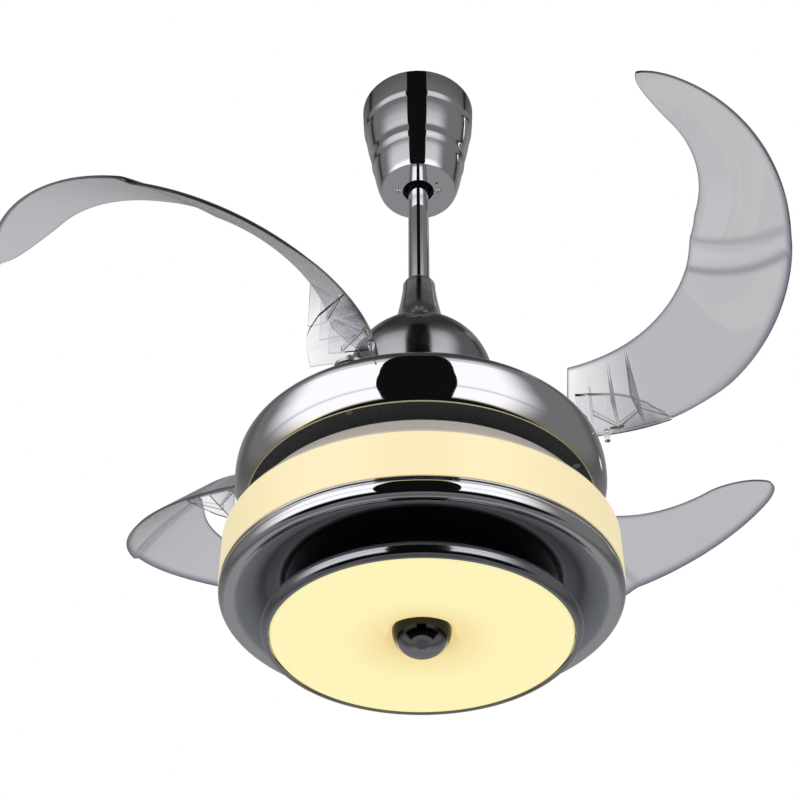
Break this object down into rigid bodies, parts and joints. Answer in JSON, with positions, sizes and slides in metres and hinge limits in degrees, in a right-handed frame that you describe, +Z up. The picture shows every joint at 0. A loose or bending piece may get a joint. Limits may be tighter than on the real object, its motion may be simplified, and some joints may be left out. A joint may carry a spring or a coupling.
{
  "type": "retractable blade ceiling fan",
  "caption": "Ceiling fan with clear crescent blades that fold over a chrome drum, and a round glowing lamp below; a rod and canopy hang it.",
  "frame": {"origin": "centre of the hanger plate's top face, on the ceiling", "axes": "+Z up into the ceiling; the fan hangs to -Z; the two ceiling bolts lie along X; -Y is the side that the picture is taken from"},
  "size_m": [0.9172, 0.9172, 0.8595],
  "materials": {
    "chrome": "mirror-bright chrome plate on spun steel",
    "dark_chrome": "dark chrome plate",
    "zinc_steel": "zinc plate",
    "black_plastic": "moulded nylon",
    "black_paint": "semi-gloss black paint",
    "white_paint": "satin white paint",
    "white_plastic": "moulded",
    "blue_plastic": "moulded",
    "opal_acrylic": "opal acrylic, lit from inside",
    "clear_acrylic": "clear smoky acrylic, polished",
    "core_steel": "laminated, varnished",
    "copper_winding": "enamelled copper",
    "cast_aluminium": "die cast",
    "bronze": "yellow passivated",
    "rubber": "moulded"
  },
  "bodies": {
    "ceiling_mount": {"hanger_bracket": "zinc_steel", "ball_seat": "black_plastic", "canopy": "chrome", "canopy_screws": "chrome", "receiver_box": "white_plastic", "terminal_block": "blue_plastic"},
    "hanging_column": {"hanger_ball": "black_plastic", "ball_pin": "zinc_steel", "downrod": "chrome", "yoke": "zinc_steel", "yoke_bolt": "zinc_steel", "yoke_cover": "chrome", "motor_shaft": "zinc_steel", "stator_core": "core_steel", "stator_winding": "copper_winding", "lamp_hanger_nut": "zinc_steel", "lamp_pan": "white_paint", "side_diffuser": "opal_acrylic", "lamp_ring": "chrome", "bezel": "dark_chrome", "bottom_diffuser": "opal_acrylic", "finial": "chrome", "finial_stud": "zinc_steel", "led_carrier": "white_paint", "bottom_led_board": "white_paint", "side_led_board": "white_paint", "led_driver": "white_plastic", "lamp_standoffs": "zinc_steel"},
    "rotor": {"rotor_top": "cast_aluminium", "rotor_bottom": "cast_aluminium", "rotor_magnets": "core_steel", "upper_bearing": "zinc_steel", "lower_bearing": "zinc_steel", "motor_dome": "chrome", "drum_shell": "chrome", "blade_tray": "black_paint", "tray_screws": "bronze", "pivot_posts": "zinc_steel", "post_clips": "zinc_steel", "return_springs": "zinc_steel", "blade_stops": "rubber", "ring_keepers": "zinc_steel"},
    "sync_gear": {"sync_ring": "white_plastic"},
    "blade_unit_1": {"blade_1": "clear_acrylic", "blade_hub_1": "zinc_steel", "hub_bush_1": "bronze", "blade_screws_1": "bronze"},
    "blade_unit_2": {"blade_2": "clear_acrylic", "blade_hub_2": "zinc_steel", "hub_bush_2": "bronze", "blade_screws_2": "bronze"},
    "blade_unit_3": {"blade_3": "clear_acrylic", "blade_hub_3": "zinc_steel", "hub_bush_3": "bronze", "blade_screws_3": "bronze"},
    "blade_unit_4": {"blade_4": "clear_acrylic", "blade_hub_4": "zinc_steel", "hub_bush_4": "bronze", "blade_screws_4": "bronze"}
  },
  "joints": [
    {"name": "hanger_tilt", "type": "hinge", "parent": "ceiling_mount", "child": "hanging_column", "pos_m": [0, 0, -0.122], "axis": [1, 0, 0], "range_deg": [-6, 6]},
    {"name": "rotor_spin", "type": "hinge", "parent": "hanging_column", "child": "rotor", "pos_m": [0, 0, -0.62], "axis": [0, 0, 1], "continuous": true},
    {"name": "blade_fold_1", "type": "hinge", "parent": "rotor", "child": "blade_unit_1", "pos_m": [0.16678, -0.07286, -0.66], "axis": [0, 0, 1], "range_deg": [-113.2, 0]},
    {"name": "blade_fold_2", "type": "hinge", "parent": "rotor", "child": "blade_unit_2", "pos_m": [0.07286, 0.16678, -0.66], "axis": [0, 0, 1], "range_deg": [-113.2, 0]},
    {"name": "blade_fold_3", "type": "hinge", "parent": "rotor", "child": "blade_unit_3", "pos_m": [-0.16678, 0.07286, -0.66], "axis": [0, 0, 1], "range_deg": [-113.2, 0]},
    {"name": "blade_fold_4", "type": "hinge", "parent": "rotor", "child": "blade_unit_4", "pos_m": [-0.07286, -0.16678, -0.66], "axis": [0, 0, 1], "range_deg": [-113.2, 0]},
    {"name": "sync_ring_turn", "type": "hinge", "parent": "rotor", "child": "sync_gear", "pos_m": [0, 0, -0.66], "axis": [0, 0, 1], "range_deg": [0, 22.4]}
  ],
  "couplings": [
    {"joint": "blade_fold_2", "follows": "blade_fold_1", "ratio": 1},
    {"joint": "blade_fold_3", "follows": "blade_fold_1", "ratio": 1},
    {"joint": "blade_fold_4", "follows": "blade_fold_1", "ratio": 1},
    {"joint": "sync_ring_turn", "follows": "blade_fold_1", "ratio": -0.19737}
  ]
}
